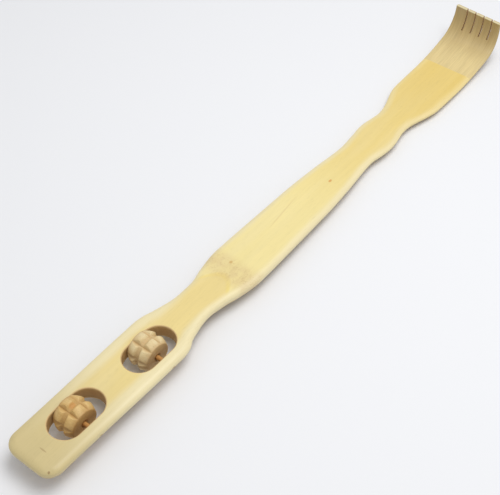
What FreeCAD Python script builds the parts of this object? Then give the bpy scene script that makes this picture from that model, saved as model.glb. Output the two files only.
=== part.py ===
import FreeCAD, Part
import math
import os

import Sketcher

# A bamboo back scratcher with two massage rollers, in millimetres.
# It lies as on a table: it rests on the inner roller and on the heel of its claw.
# X runs from the handle to the claw, Y across the slat and Z up.
# The origin is under the middle of the whole object, on the table.

Vector = FreeCAD.Vector
ACROSS = Vector(0, 1, 0)

# Driving sizes: name, value and what it measures.
SIZES = (
    ("slat_thick", 10.2, "thickness of the slat along the handle"),
    ("waist_thick", 7.4, "thickness at the waist"),
    ("head_thick", 5.4, "thickness where the planed face ends"),
    ("tip_thick", 2.8, "thickness at the tips of the teeth"),
    ("end_corner", 10.0, "corner radius of the handle's end, seen from above"),
    ("edge_round", 5.0, "width of the rounded edge beside the planed face"),
    ("claw_edge_round", 1.2, "width of the rounded edge on the claw"),
    ("edge_facets", 4.0, "narrow flats that a quarter of the edge's rounding is planed in"),
    ("butt_width", 39.0, "width behind the corners of the handle's end"),
    ("grip_length", 106.0, "length of the handle"),
    ("grip_width", 40.8, "width at its end"),
    ("neck_run", 41.0, "from the handle to the narrow neck beyond it"),
    ("neck_width", 26.2, "width there"),
    ("shoulder_run", 44.0, "from the neck to the shoulder at the bamboo's node"),
    ("shoulder_width", 38.9, "width there"),
    ("blade_run", 61.0, "from the shoulder to the middle of the tapering blade"),
    ("blade_width", 35.9, "width there"),
    ("waist_run", 25.0, "from the waist at the blade's end to the small swelling"),
    ("waist_width", 26.2, "width of the waist"),
    ("knop_run", 22.0, "from the swelling to the throat below the head"),
    ("knop_width", 30.4, "width of the swelling"),
    ("throat_run", 36.0, "from the throat to the start of the broad head"),
    ("throat_width", 25.2, "width of the throat"),
    ("head_length", 43.0, "from the start of the head to the end of the planed face"),
    ("head_width", 40.0, "width at the start of the head"),
    ("face_length", 455.0, "length of the planed face, to where the claw begins"),
    ("face_end_width", 41.4, "width there"),
    ("heel_radius", 92.0, "first, gentle bend of the claw, on its hollow side"),
    ("heel_turn", 20.0, "angle of that bend"),
    ("claw_radius", 20.5, "second, tight bend of the claw, on its hollow side"),
    ("claw_turn", 98.0, "angle of the tips to the planed face"),
    ("claw_width", 43.4, "width of the claw at its heel"),
    ("tip_width", 40.6, "width across the tips"),
    ("tip_round", 0.7, "rounding of the tips of the teeth"),
    ("slit_width", 1.1, "saw cut between two teeth"),
    ("slit_length", 18.0, "depth of the saw cuts from the tips"),
    ("slit_count", 4.0, "number of saw cuts, one fewer than the teeth"),
    ("wide_tooth", 10.6, "width of the first tooth"),
    ("tooth_pitch", 7.5, "from one saw cut to the next"),
    ("window_length", 39.2, "length of a roller's window"),
    ("window_width", 22.4, "width of a window, the diameter of its cutter"),
    ("window_rim", 0.7, "chamfer on a window's rims"),
    ("outer_window_at", 40.6, "centre of the window near the handle's end"),
    ("outer_window_side", -0.3, "how far it lies off the middle"),
    ("inner_window_at", 101.6, "centre of the second window"),
    ("inner_window_side", -1.8, "how far it lies off the middle"),
    ("outer_pin_at", 40.5, "axle pin in the outer window"),
    ("inner_pin_at", 102.6, "axle pin in the inner window"),
    ("pin_diameter", 3.0, "bamboo axle pin"),
    ("pin_recess", 0.4, "how far a pin's ends lie inside the slat's edges"),
    ("pin_chamfer", 0.3, "chamfer on a pin's ends"),
    ("roller_diameter", 24.4, "roller across its crown"),
    ("roller_length", 16.2, "roller along its axle"),
    ("roller_crown", 13.5, "radius of the crown along the axle"),
    ("crown_cuts", 5.0, "straight cuts that the crown is turned in"),
    ("roller_rim", 0.7, "chamfer on the roller's end rims"),
    ("bore_clearance", 0.08, "running clearance round the pin"),
    ("mouth_diameter", 6.0, "hollow at each end of the bore"),
    ("mouth_depth", 1.8, "depth of that hollow"),
    ("waist_groove_width", 5.6, "width of the groove round the middle of a roller"),
    ("waist_groove_floor", 1.2, "width of the floor of that groove"),
    ("waist_groove_depth", 1.8, "depth of that groove"),
    ("flute_depth", 2.6, "V groove between two ridges"),
    ("flute_angle", 96.0, "angle of the V"),
    ("flute_count", 7.0, "ridges round a roller"),
    ("outer_roller_side", 1.6, "how far the outer roller has slid along its pin"),
    ("inner_roller_side", 0.7, "how far the inner roller has slid along its pin"),
    ("outer_roller_turn", -24.0, "angle of a groove of the outer roller to the vertical"),
    ("inner_roller_turn", -28.0, "angle of a groove of the inner roller to the vertical"),
)

doc = FreeCAD.newDocument("BackScratcher")
sheet = doc.addObject("Spreadsheet::Sheet", "Sizes")
for row, (name, value, meaning) in enumerate(SIZES, start=1):
    sheet.set("A%d" % row, meaning)
    sheet.set("B%d" % row, str(value))
    sheet.setAlias("B%d" % row, name)
doc.recompute()


def size(name):
    """A driving size, read from the sheet."""
    return float(sheet.get(name))


def bind(item, prop, formula):
    """Tie a property or constraint to the sheet's cells."""
    item.setExpression(prop, formula)


# The flowing lines of the slat

def flowing(points, at):
    """Height of a smooth curve through points (place, height), with no overshoot."""
    places = [point[0] for point in points]
    heights = [point[1] for point in points]
    if at <= places[0]:
        return heights[0]
    if at >= places[-1]:
        return heights[-1]
    steps = [(heights[i + 1] - heights[i]) / (places[i + 1] - places[i])
             for i in range(len(points) - 1)]
    slopes = [0.0]
    for before, after in zip(steps, steps[1:]):
        same_way = before * after > 0
        slopes.append(2 * before * after / (before + after) if same_way else 0.0)
    slopes.append(0.0)
    i = max(k for k in range(len(steps)) if places[k] <= at)
    span = places[i + 1] - places[i]
    u = (at - places[i]) / span
    return (heights[i] * (1 + 2 * u) * (1 - u) ** 2 + slopes[i] * span * u * (1 - u) ** 2
            + heights[i + 1] * u * u * (3 - 2 * u) + slopes[i + 1] * span * u * u * (u - 1))


FACE_LENGTH = size("face_length")
HEEL_RADIUS = size("heel_radius")
HEEL_TURN = math.radians(size("heel_turn"))
CLAW_RADIUS = size("claw_radius")
CLAW_TURN = math.radians(size("claw_turn"))
HEEL_END = FACE_LENGTH + HEEL_RADIUS * HEEL_TURN
TIP_AT = HEEL_END + CLAW_RADIUS * (CLAW_TURN - HEEL_TURN)
SLAT_THICK = size("slat_thick")
END_CORNER = size("end_corner")
EDGE_ROUND = size("edge_round")
EDGE_FACETS = round(size("edge_facets"))
TIP_ROUND = size("tip_round")

GRIP_AT = size("grip_length")
NECK_AT = GRIP_AT + size("neck_run")
SHOULDER_AT = NECK_AT + size("shoulder_run")
BLADE_AT = SHOULDER_AT + size("blade_run")
HEAD_AT = FACE_LENGTH - size("head_length")
THROAT_AT = HEAD_AT - size("throat_run")
KNOP_AT = THROAT_AT - size("knop_run")
WAIST_AT = KNOP_AT - size("waist_run")

WIDTHS = [
    (END_CORNER, size("butt_width")),
    (GRIP_AT, size("grip_width")),
    (NECK_AT, size("neck_width")),
    (SHOULDER_AT, size("shoulder_width")),
    (BLADE_AT, size("blade_width")),
    (WAIST_AT, size("waist_width")),
    (KNOP_AT, size("knop_width")),
    (THROAT_AT, size("throat_width")),
    (HEAD_AT, size("head_width")),
    (FACE_LENGTH, size("face_end_width")),
    (HEEL_END, size("claw_width")),
    (TIP_AT, size("tip_width")),
]

THICKNESSES = [
    (NECK_AT, SLAT_THICK),
    (WAIST_AT, size("waist_thick")),
    (FACE_LENGTH, size("head_thick")),
    (TIP_AT, size("tip_thick")),
]

EDGES = [
    (FACE_LENGTH, EDGE_ROUND),
    (HEEL_END, size("claw_edge_round")),
]


def spine(along):
    """Point and slope of the slat's upper face, that far along it."""
    if along <= FACE_LENGTH:
        return Vector(along, 0, 0), 0.0
    if along <= HEEL_END:
        turn = (along - FACE_LENGTH) / HEEL_RADIUS
        return Vector(FACE_LENGTH + HEEL_RADIUS * math.sin(turn), 0,
                      HEEL_RADIUS * (1 - math.cos(turn))), turn
    start, first = spine(HEEL_END)
    turn = first + (along - HEEL_END) / CLAW_RADIUS
    return start + Vector(CLAW_RADIUS * (math.sin(turn) - math.sin(first)), 0,
                          CLAW_RADIUS * (math.cos(first) - math.cos(turn))), turn


def rounding(depth, radius):
    """How far a rounded corner has opened out, that deep behind its front."""
    if depth <= 0:
        return 0.0
    if depth >= radius:
        return radius
    return math.sqrt(radius ** 2 - (radius - depth) ** 2)


def slat_section(along):
    """The slat's outline square to its length: flat faces between rounded edges."""
    thick = flowing(THICKNESSES, along)
    edge = flowing(EDGES, along)
    half_width = flowing(WIDTHS, along) / 2
    half_thick = thick / 2
    flat_half = half_width - edge
    if along < END_CORNER:
        square_half = half_width - END_CORNER
        half_width = square_half + rounding(along, END_CORNER)
        flat_half = square_half + rounding(along - edge, END_CORNER - edge)
        half_thick = rounding(along, half_thick)
    if along > TIP_AT - TIP_ROUND:
        worn = TIP_ROUND - rounding(TIP_AT - along, TIP_ROUND)
        half_width -= worn
        half_thick -= worn
    middle = -thick / 2
    origin, turn = spine(along)
    normal = Vector(-math.sin(turn), 0, math.cos(turn))

    def at(side, height):
        return origin + ACROSS * side + normal * height

    rim = []
    for facet in range(EDGE_FACETS + 1):
        angle = math.pi / 2 * facet / EDGE_FACETS
        rim.append((flat_half + (half_width - flat_half) * math.sin(angle), half_thick * math.cos(angle)))
    right = [at(side, middle + rise) for side, rise in rim]
    right += [at(side, middle - rise) for side, rise in reversed(rim[:-1])]
    left = [Vector(point.x, -point.y, point.z) for point in reversed(right)]
    return Part.makePolygon(right + left + right[:1])


def spread(start, end, count):
    """Evenly spaced places from start up to, but not at, end."""
    return [start + (end - start) * i / count for i in range(count)]


def stretch(places):
    """The slat between the first and the last of these places, with true planes where it is flat."""
    loft = Part.makeLoft([slat_section(place) for place in places], True, False)
    faces = []
    for face in loft.Faces:
        plane = face.findPlane(FLATNESS)
        faces.append(Part.Face(plane, [face.OuterWire]) if plane else face)
    shell = Part.Shell(faces)
    shell.sewShape()
    solid = Part.Solid(shell)
    if solid.Volume < 0:
        solid.reverse()
    return solid


FLATNESS = 0.0001
BUTT_END = SLAT_THICK / 2
BUTT_CUTS = 6
TIP_CUTS = 3
TIP_START = TIP_AT - TIP_ROUND

butt = [BUTT_END * (1 - math.cos(math.pi / 2 * i / BUTT_CUTS)) for i in range(BUTT_CUTS + 1)]
butt[0] = butt[1] / 2
grip = spread(BUTT_END, END_CORNER, 3) + [END_CORNER] + spread(GRIP_AT, NECK_AT, 6) + [NECK_AT]
blade = spread(NECK_AT, SHOULDER_AT, 6) + spread(SHOULDER_AT, WAIST_AT, 9) + spread(WAIST_AT, KNOP_AT, 4)
blade += spread(KNOP_AT, THROAT_AT, 3) + spread(THROAT_AT, HEAD_AT, 5) + spread(HEAD_AT, FACE_LENGTH, 3)
blade.append(FACE_LENGTH)
claw = spread(FACE_LENGTH, HEEL_END, 4) + spread(HEEL_END, TIP_START, 7)
claw += [TIP_AT - TIP_ROUND * (1 - math.sin(math.pi / 2 * i / TIP_CUTS)) for i in range(TIP_CUTS)]
claw.append(TIP_AT - TIP_ROUND / 50)

stretches = [stretch(places) for places in (butt, grip, blade, claw)]
slat_blank = doc.addObject("Part::Feature", "SlatBlank")
slat_blank.Shape = stretches[0].fuse(stretches[1:]).removeSplitter()

# Sizes that follow from the others, kept beside them in the sheet

rows_used = len(SIZES)


def note(name, value, meaning):
    """Add a size that is worked out from the driving ones."""
    global rows_used
    rows_used += 1
    sheet.set("A%d" % rows_used, meaning)
    sheet.set("B%d" % rows_used, repr(value))
    sheet.setAlias("B%d" % rows_used, name)


for which in ("outer", "inner"):
    width_here = flowing(WIDTHS, size(which + "_pin_at"))
    note(which + "_pin_length", width_here - 2 * size("pin_recess"), "length of the " + which + " pin")
note("widest", max(width for place, width in WIDTHS), "greatest width of the slat")
doc.recompute()


# Windows, saw cuts and pin holes

def sketch_on(body, role, name):
    """A new sketch on one of the body's own origin planes."""
    sketch = body.newObject("Sketcher::SketchObject", name)
    plane = [item for item in body.Origin.OriginFeatures if item.Role == role][0]
    sketch.AttachmentSupport = [(plane, "")]
    sketch.MapMode = "FlatFace"
    return sketch


def window_cutter(which):
    """The path of a round cutter that is moved along the slat: straight sides, round ends."""
    sketch = doc.addObject("Sketcher::SketchObject", which + "WindowOutline")
    radius = size("window_width") / 2
    reach = size("window_length") / 2 - radius
    up = Vector(0, 0, 1)
    left = Part.ArcOfCircle(Part.Circle(Vector(-reach, 0, 0), up, radius), math.pi / 2, 3 * math.pi / 2)
    right = Part.ArcOfCircle(Part.Circle(Vector(reach, 0, 0), up, radius), -math.pi / 2, math.pi / 2)
    sketch.addGeometry([
        left,
        Part.LineSegment(Vector(-reach, -radius, 0), Vector(reach, -radius, 0)),
        right,
        Part.LineSegment(Vector(reach, radius, 0), Vector(-reach, radius, 0)),
    ], False)
    for first, first_end, second, second_end in ((0, 2, 1, 1), (1, 2, 2, 1), (2, 2, 3, 1), (3, 2, 0, 1)):
        sketch.addConstraint(Sketcher.Constraint("Tangent", first, first_end, second, second_end))
    sketch.addConstraint(Sketcher.Constraint("Horizontal", 1))
    sketch.addConstraint(Sketcher.Constraint("Symmetric", 0, 3, 2, 3, -1, 1))
    width = sketch.addConstraint(Sketcher.Constraint("Radius", 0, radius))
    travel = sketch.addConstraint(Sketcher.Constraint("DistanceX", 0, 3, 2, 3, 2 * reach))
    bind(sketch, "Constraints[%d]" % width, "Sizes.window_width / 2")
    bind(sketch, "Constraints[%d]" % travel, "Sizes.window_length - Sizes.window_width")
    cutter = doc.addObject("Part::Extrusion", which + "WindowCutter")
    cutter.Base = sketch
    cutter.DirMode = "Custom"
    cutter.Dir = Vector(0, 0, 1)
    cutter.Solid = True
    cutter.Symmetric = True
    bind(cutter, "LengthFwd", "Sizes.slat_thick * 4")
    bind(cutter, "Placement.Base.x", "Sizes.%s_window_at" % which.lower())
    bind(cutter, "Placement.Base.y", "Sizes.%s_window_side" % which.lower())
    return cutter


def pin_drill(which):
    """A drill across the handle, at half its thickness."""
    drill = doc.addObject("Part::Cylinder", which + "PinDrill")
    drill.Placement = FreeCAD.Placement(Vector(), FreeCAD.Rotation(Vector(1, 0, 0), -90))
    bind(drill, "Radius", "Sizes.pin_diameter / 2")
    bind(drill, "Height", "Sizes.widest * 1.2")
    bind(drill, "Placement.Base.x", "Sizes.%s_pin_at" % which.lower())
    bind(drill, "Placement.Base.y", "-Sizes.widest * 0.6")
    bind(drill, "Placement.Base.z", "-Sizes.slat_thick / 2")
    return drill


def saw_cut(index):
    """One straight saw cut, from the tips down to the root of the teeth."""
    root, turn = spine(TIP_AT - size("slit_length"))
    cut = doc.addObject("Part::Box", "SawCut%d" % index)
    sink = Vector(math.sin(turn), 0, -math.cos(turn)) * SAW_REACH
    cut.Placement = FreeCAD.Placement(root + sink, FreeCAD.Rotation(ACROSS, -math.degrees(turn)))
    bind(cut, "Length", "Sizes.slit_length * 2")
    bind(cut, "Width", "Sizes.slit_width")
    cut.Height = 2 * SAW_REACH
    bind(cut, "Placement.Base.y", "Sizes.tip_width / 2 - Sizes.wide_tooth - Sizes.slit_width"
         " - %d * Sizes.tooth_pitch" % index)
    return cut


SAW_REACH = CLAW_RADIUS * 0.9


def join(kind, name, tools):
    item = doc.addObject(kind, name)
    item.Shapes = tools
    return item


def cut_away(name, base, tool):
    item = doc.addObject("Part::Cut", name)
    item.Base = base
    item.Tool = tool
    return item


windows = join("Part::MultiFuse", "Windows", [window_cutter("Outer"), window_cutter("Inner")])
routed = cut_away("RoutedSlat", slat_blank, windows)
doc.recompute()

WINDOW_STRAY = max(abs(size("outer_window_side")), abs(size("inner_window_side"))) + FLATNESS
rims = []
for number, edge in enumerate(routed.Shape.Edges, start=1):
    box = edge.BoundBox
    level = box.ZLength < FLATNESS
    inside = box.XMin > END_CORNER and box.XMax < NECK_AT
    across = max(abs(box.YMin), abs(box.YMax)) < size("window_width") / 2 + WINDOW_STRAY
    if level and inside and across:
        rims.append((number, size("window_rim"), size("window_rim")))
eased = doc.addObject("Part::Chamfer", "EasedWindows")
eased.Base = routed
eased.Edges = rims

tools = [pin_drill("Outer"), pin_drill("Inner")]
tools += [saw_cut(index) for index in range(round(size("slit_count")))]
slat = cut_away("BambooSlat", eased, join("Part::MultiFuse", "DrillsAndSaw", tools))
slat.Label = "bamboo_slat"
doc.recompute()


# Rollers and pins

def add_line(sketch, start, end):
    return sketch.addGeometry(Part.LineSegment(Vector(*start), Vector(*end)), False)


def chain(sketch, pairs):
    """Join the end of each edge to the start of the next."""
    for first, second in pairs:
        sketch.addConstraint(Sketcher.Constraint("Coincident", first, 2, second, 1))


def roller(which):
    """A turned wooden ball with cut-off ends, grooved round its middle and fluted along it."""
    body = doc.addObject("PartDesign::Body", which + "Roller")
    body.Label = which.lower() + "_roller"
    radius = size("roller_diameter") / 2
    half = size("roller_length") / 2
    crown = size("roller_crown")

    outline = sketch_on(body, "XY_Plane", which + "RollerOutline")
    cuts = round(size("crown_cuts"))
    levels = [half * (2 * cut / cuts - 1) for cut in range(cuts + 1)]
    crest = [(radius - crown + math.sqrt(crown ** 2 - level ** 2), level, 0) for level in levels]
    corners = [(0, -half, 0)] + crest + [(0, half, 0)]
    sides = [add_line(outline, start, end) for start, end in zip(corners, corners[1:] + corners[:1])]
    chain(outline, list(zip(sides, sides[1:] + sides[:1])))
    core = sides[-1]
    ball = outline.addGeometry(Part.Circle(Vector(radius - crown, 0, 0), Vector(0, 0, 1), crown), True)
    outline.addConstraint(Sketcher.Constraint("Horizontal", sides[0]))
    outline.addConstraint(Sketcher.Constraint("Horizontal", sides[-2]))
    outline.addConstraint(Sketcher.Constraint("PointOnObject", core, 1, -2))
    outline.addConstraint(Sketcher.Constraint("Symmetric", core, 1, core, 2, -1, 1))
    outline.addConstraint(Sketcher.Constraint("PointOnObject", ball, 3, -1))
    crowned = outline.addConstraint(Sketcher.Constraint("Radius", ball, crown))
    centred = outline.addConstraint(Sketcher.Constraint("DistanceX", -1, 1, ball, 3, radius - crown))
    lengthwise = outline.addConstraint(Sketcher.Constraint("DistanceY", core, 2, core, 1, 2 * half))
    bind(outline, "Constraints[%d]" % crowned, "Sizes.roller_crown")
    bind(outline, "Constraints[%d]" % centred, "Sizes.roller_diameter / 2 - Sizes.roller_crown")
    bind(outline, "Constraints[%d]" % lengthwise, "Sizes.roller_length")
    for cut in range(cuts + 1):
        outline.addConstraint(Sketcher.Constraint("PointOnObject", sides[cut + 1], 1, ball))
    for cut in range(1, cuts):
        rise = outline.addConstraint(Sketcher.Constraint(
            "DistanceY", sides[0], 1, sides[cut + 1], 1, 2 * half * cut / cuts))
        bind(outline, "Constraints[%d]" % rise, "Sizes.roller_length * %d / %d" % (cut, cuts))
    turned = body.newObject("PartDesign::Revolution", which + "RollerTurned")
    turned.Profile = outline
    turned.ReferenceAxis = (outline, ["V_Axis"])
    turned.Angle = 360
    doc.recompute()

    rims = ["Edge%d" % number for number, edge in enumerate(turned.Shape.Edges, start=1)
            if edge.BoundBox.YLength < 0.01 and abs(abs(edge.BoundBox.YMin) - half) < 0.01]
    softened = body.newObject("PartDesign::Chamfer", which + "RollerRims")
    softened.Base = (turned, rims)
    bind(softened, "Size", "Sizes.roller_rim")

    ring = sketch_on(body, "XY_Plane", which + "GrooveOutline")
    floor = size("waist_groove_floor") / 2
    brim = size("waist_groove_width") / 2
    deep = radius - size("waist_groove_depth")
    corners = [(deep, -floor, 0), (deep, floor, 0), (radius, brim, 0), (radius, -brim, 0)]
    sides = [add_line(ring, start, end) for start, end in zip(corners, corners[1:] + corners[:1])]
    chain(ring, list(zip(sides, sides[1:] + sides[:1])))
    ring.addConstraint(Sketcher.Constraint("Symmetric", sides[0], 1, sides[0], 2, -1))
    ring.addConstraint(Sketcher.Constraint("Symmetric", sides[2], 1, sides[2], 2, -1))
    inner = ring.addConstraint(Sketcher.Constraint("DistanceX", -1, 1, sides[0], 1, deep))
    outer = ring.addConstraint(Sketcher.Constraint("DistanceX", -1, 1, sides[2], 1, radius))
    narrow = ring.addConstraint(Sketcher.Constraint("DistanceY", sides[0], 1, sides[0], 2, 2 * floor))
    wide = ring.addConstraint(Sketcher.Constraint("DistanceY", sides[2], 2, sides[2], 1, 2 * brim))
    bind(ring, "Constraints[%d]" % inner, "Sizes.roller_diameter / 2 - Sizes.waist_groove_depth")
    bind(ring, "Constraints[%d]" % outer, "Sizes.roller_diameter / 2")
    bind(ring, "Constraints[%d]" % narrow, "Sizes.waist_groove_floor")
    bind(ring, "Constraints[%d]" % wide, "Sizes.waist_groove_width")
    grooved = body.newObject("PartDesign::Groove", which + "WaistGroove")
    grooved.Profile = ring
    grooved.ReferenceAxis = (ring, ["V_Axis"])
    grooved.Angle = 360

    vee = sketch_on(body, "XZ_Plane", which + "FluteOutline")
    rise = size("flute_depth") * 2
    reach = rise * math.tan(math.radians(size("flute_angle") / 2))
    bottom = radius - size("flute_depth")
    corners = [(bottom, 0, 0), (bottom + rise, reach, 0), (bottom + rise, -reach, 0)]
    sides = [add_line(vee, start, end) for start, end in zip(corners, corners[1:] + corners[:1])]
    chain(vee, list(zip(sides, sides[1:] + sides[:1])))
    vee.addConstraint(Sketcher.Constraint("PointOnObject", sides[0], 1, -1))
    vee.addConstraint(Sketcher.Constraint("Symmetric", sides[1], 1, sides[1], 2, -1))
    deep = vee.addConstraint(Sketcher.Constraint("DistanceX", -1, 1, sides[0], 1, bottom))
    tall = vee.addConstraint(Sketcher.Constraint("DistanceX", sides[0], 1, sides[0], 2, rise))
    wide = vee.addConstraint(Sketcher.Constraint("DistanceY", sides[1], 2, sides[1], 1, 2 * reach))
    bind(vee, "Constraints[%d]" % deep, "Sizes.roller_diameter / 2 - Sizes.flute_depth")
    bind(vee, "Constraints[%d]" % tall, "Sizes.flute_depth * 2")
    bind(vee, "Constraints[%d]" % wide, "Sizes.flute_depth * 4 * tan(Sizes.flute_angle / 2 * 1deg)")
    flute = body.newObject("PartDesign::Pocket", which + "Flute")
    flute.Profile = vee
    flute.Type = "ThroughAll"
    flute.SideType = "Symmetric"
    flutes = body.newObject("PartDesign::PolarPattern", which + "Flutes")
    flutes.Originals = [flute]
    flutes.Axis = (vee, ["N_Axis"])
    flutes.Angle = 360
    bind(flutes, "Occurrences", "Sizes.flute_count")
    body.Tip = flutes

    hollow = sketch_on(body, "XY_Plane", which + "BoreOutline")
    bore = size("pin_diameter") / 2 + size("bore_clearance")
    mouth = size("mouth_diameter") / 2
    depth = size("mouth_depth")
    corners = ((0, -half), (mouth, -half), (bore, depth - half), (bore, half - depth), (mouth, half), (0, half))
    sides = [add_line(hollow, start + (0,), end + (0,))
             for start, end in zip(corners, corners[1:] + corners[:1])]
    chain(hollow, list(zip(sides, sides[1:] + sides[:1])))
    near, lead_in, wall, lead_out, far, middle = sides
    for level in (near, far):
        hollow.addConstraint(Sketcher.Constraint("Horizontal", level))
    hollow.addConstraint(Sketcher.Constraint("PointOnObject", middle, 1, -2))
    hollow.addConstraint(Sketcher.Constraint("Symmetric", middle, 1, middle, 2, -1, 1))
    hollow.addConstraint(Sketcher.Constraint("Vertical", lead_in, 1, far, 1))
    hollow.addConstraint(Sketcher.Constraint("Symmetric", wall, 1, wall, 2, -1))
    length = hollow.addConstraint(Sketcher.Constraint("DistanceY", middle, 2, middle, 1, 2 * half))
    inner = hollow.addConstraint(Sketcher.Constraint("DistanceX", -1, 1, wall, 1, bore))
    outer = hollow.addConstraint(Sketcher.Constraint("DistanceX", -1, 1, far, 1, mouth))
    lead = hollow.addConstraint(Sketcher.Constraint("DistanceY", lead_in, 1, wall, 1, depth))
    bind(hollow, "Constraints[%d]" % length, "Sizes.roller_length")
    bind(hollow, "Constraints[%d]" % inner, "Sizes.pin_diameter / 2 + Sizes.bore_clearance")
    bind(hollow, "Constraints[%d]" % outer, "Sizes.mouth_diameter / 2")
    bind(hollow, "Constraints[%d]" % lead, "Sizes.mouth_depth")
    bored = body.newObject("PartDesign::Groove", which + "Bore")
    bored.Profile = hollow
    bored.ReferenceAxis = (hollow, ["V_Axis"])
    bored.Angle = 360
    body.Tip = bored
    doc.recompute()
    return body


def pin(which):
    """A round bamboo stick with eased ends."""
    body = doc.addObject("PartDesign::Body", which + "Pin")
    body.Label = which.lower() + "_pin"
    outline = sketch_on(body, "XZ_Plane", which + "PinOutline")
    circle = outline.addGeometry(Part.Circle(Vector(), Vector(0, 0, 1), size("pin_diameter") / 2), False)
    outline.addConstraint(Sketcher.Constraint("Coincident", circle, 3, -1, 1))
    wide = outline.addConstraint(Sketcher.Constraint("Diameter", circle, size("pin_diameter")))
    bind(outline, "Constraints[%d]" % wide, "Sizes.pin_diameter")
    stick = body.newObject("PartDesign::Pad", which + "PinStick")
    stick.Profile = outline
    stick.SideType = "Symmetric"
    bind(stick, "Length", "Sizes.%s_pin_length" % which.lower())
    doc.recompute()
    eased = body.newObject("PartDesign::Chamfer", which + "PinEnds")
    eased.Base = (stick, ["Edge%d" % number for number, edge in enumerate(stick.Shape.Edges, start=1)
                          if edge.BoundBox.YLength < 0.01])
    bind(eased, "Size", "Sizes.pin_chamfer")
    return body


parts = {"bamboo_slat": slat}
for which in ("Outer", "Inner"):
    parts[which.lower() + "_roller"] = roller(which)
    parts[which.lower() + "_pin"] = pin(which)
doc.recompute()


# The whole object as it lies on the table

def resting_tilt(below_axle):
    """Tilt at which the slat's heel and the inner roller stand on one level, and that level."""
    level, steep = 0.0, math.radians(20)
    for halving in range(40):
        tilt = (level + steep) / 2
        down = Vector(-math.sin(tilt), 0, math.cos(tilt))
        heel = min(point.dot(down) for point in HEEL)
        axle = Vector(size("inner_pin_at"), 0, -SLAT_THICK / 2)
        foot = axle.dot(down) - below_axle
        if heel > foot:
            level = tilt
        else:
            steep = tilt
    return tilt, foot


HEEL = stretches[-1].tessellate(0.05)[0]

tilt, foot = resting_tilt(size("roller_diameter") / 2)
standing = parts["inner_roller"].Shape.copy()
standing.Placement = FreeCAD.Placement(
    Vector(), FreeCAD.Rotation(ACROSS, size("inner_roller_turn") - 90 + math.degrees(tilt)))
tilt, foot = resting_tilt(-standing.optimalBoundingBox(False, False).ZMin)

lean = FreeCAD.Rotation(ACROSS, math.degrees(tilt))
leaning = slat.Shape.copy()
leaning.Placement = FreeCAD.Placement(Vector(), lean)
reach = leaning.optimalBoundingBox(False, False)
stand = FreeCAD.Placement(Vector(-(reach.XMin + reach.XMax) / 2, 0, -foot), lean)


def place(name, local):
    parts[name].Placement = stand.multiply(local)


place("bamboo_slat", FreeCAD.Placement())
for which in ("outer", "inner"):
    axle = Vector(size(which + "_pin_at"), 0, -SLAT_THICK / 2)
    slid = axle + ACROSS * size(which + "_roller_side")
    turned = FreeCAD.Rotation(ACROSS, size(which + "_roller_turn") - 90)
    place(which + "_pin", FreeCAD.Placement(axle, FreeCAD.Rotation()))
    place(which + "_roller", FreeCAD.Placement(slid, turned))
doc.recompute()

for item in doc.Objects:
    if "Invalid" in item.State or "Error" in item.State:
        raise SystemExit("failed: " + item.Name)
os.makedirs("parts", exist_ok=True)
for name, item in parts.items():
    shape = item.Shape
    if shape.isNull() or not shape.isValid() or len(shape.Solids) != 1:
        raise SystemExit("bad shape: " + name)
    shape.exportStep("parts/%s.step" % name)
    box = shape.optimalBoundingBox(False, False)
    print("%-14s volume %8.1f mm3  X %.2f to %.2f  Y %.2f to %.2f  Z %.2f to %.2f" % (
        name, shape.Volume, box.XMin, box.XMax, box.YMin, box.YMax, box.ZMin, box.ZMax))
print("tilt %.3f degrees, length along the face to the tips %.1f mm" % (math.degrees(tilt), TIP_AT))
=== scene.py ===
# %% [markdown]
# # A bamboo back scratcher with two massage rollers
#
# The scratcher is one long bamboo slat. It is planed flat on top, rounded along its
# edges, and its far end is steamed and bent up into a claw that is sawn into five teeth.
# Two windows in the handle hold grooved wooden rollers, which turn on bamboo pins.
#
# Everything here is in metres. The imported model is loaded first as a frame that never
# moves, and each piece made here takes the place of one of its nodes.

import math

import bmesh
import bpy
from mathutils import Matrix, Vector


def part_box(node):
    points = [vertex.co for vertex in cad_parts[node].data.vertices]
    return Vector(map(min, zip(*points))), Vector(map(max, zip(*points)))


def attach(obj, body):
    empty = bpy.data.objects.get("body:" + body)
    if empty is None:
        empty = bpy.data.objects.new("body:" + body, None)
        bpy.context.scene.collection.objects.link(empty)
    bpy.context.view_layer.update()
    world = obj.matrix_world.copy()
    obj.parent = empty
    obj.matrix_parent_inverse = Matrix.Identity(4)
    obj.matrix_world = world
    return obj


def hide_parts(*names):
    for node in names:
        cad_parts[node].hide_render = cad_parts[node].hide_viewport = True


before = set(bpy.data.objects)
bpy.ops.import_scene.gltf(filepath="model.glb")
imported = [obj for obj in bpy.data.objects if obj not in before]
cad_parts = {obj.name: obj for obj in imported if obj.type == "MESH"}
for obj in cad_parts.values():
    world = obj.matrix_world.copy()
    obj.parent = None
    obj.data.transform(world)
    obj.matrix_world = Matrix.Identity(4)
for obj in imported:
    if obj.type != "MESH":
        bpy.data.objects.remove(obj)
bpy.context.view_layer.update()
MM = 0.001


def in_scene(name, data):
    """A new object in the scene, from a mesh, a lamp or a camera."""
    item = bpy.data.objects.new(name, data)
    bpy.context.collection.objects.link(item)
    return item


# %% [markdown]
# ## Where the slat lies
#
# The slat is easiest to describe lying flat, with x along it from the handle's end, y
# across it and z = 0 on the planed face. On the table it leans a little, because the
# handle is held up by a roller and the other end by the heel of the claw. The two axle
# pins of the frame tell how it leans: the line through their centres gives the tilt.

# %% From the slat's own axes to the table
SLAT_THICK = 10.2
OUTER_PIN_AT = 40.5
INNER_PIN_AT = 102.6


def node_middle(name):
    """Middle of a node of the frame."""
    low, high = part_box(name)
    return (low + high) / 2


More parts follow.
